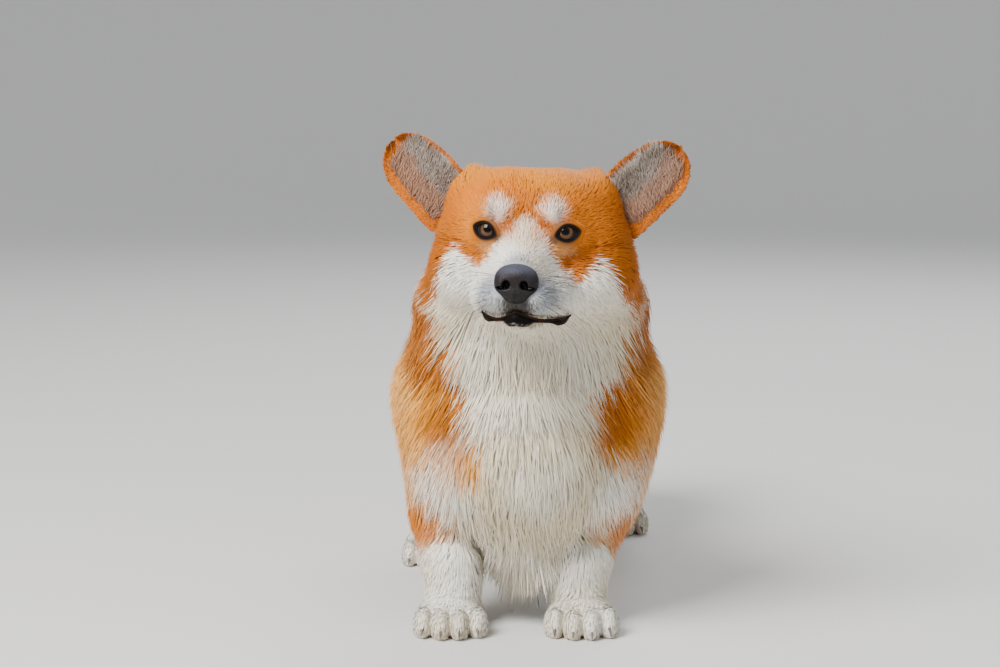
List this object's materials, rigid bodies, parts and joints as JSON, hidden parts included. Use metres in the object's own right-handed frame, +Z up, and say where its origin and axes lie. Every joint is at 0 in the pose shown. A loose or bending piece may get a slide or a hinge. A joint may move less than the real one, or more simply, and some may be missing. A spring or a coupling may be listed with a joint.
{
  "type": "pembroke welsh corgi museum model",
  "caption": "Life-size still model of a standing pembroke welsh corgi with a red and white coat, upright ears, deep chest ruff, short legs and a docked tail.",
  "frame": {"origin": "on the floor, under the middle of the whole model's box", "axes": "the dog faces -Y, its left side is +X, +Z is up"},
  "size_m": [0.2524, 0.6366, 0.4206],
  "materials": {
    "red_coat": "soft fur, red to golden",
    "white_coat": "soft fur, cream white",
    "nose_leather": "moist pebbled black",
    "eye": "polished dark brown glass eye"
  },
  "bodies": {
    "root": {"torso_front": "red_coat", "torso_rear": "red_coat", "neck": "white_coat", "head": "red_coat", "jaw": "white_coat", "nose": "nose_leather", "eye_left": "eye", "eye_right": "eye", "ear_left": "red_coat", "ear_right": "red_coat", "foreleg_left": "white_coat", "foreleg_right": "white_coat", "forepaw_left": "white_coat", "forepaw_right": "white_coat", "thigh_left": "red_coat", "thigh_right": "red_coat", "hindleg_left": "white_coat", "hindleg_right": "white_coat", "hindpaw_left": "white_coat", "hindpaw_right": "white_coat", "tail": "red_coat"}
  },
  "joints": []
}
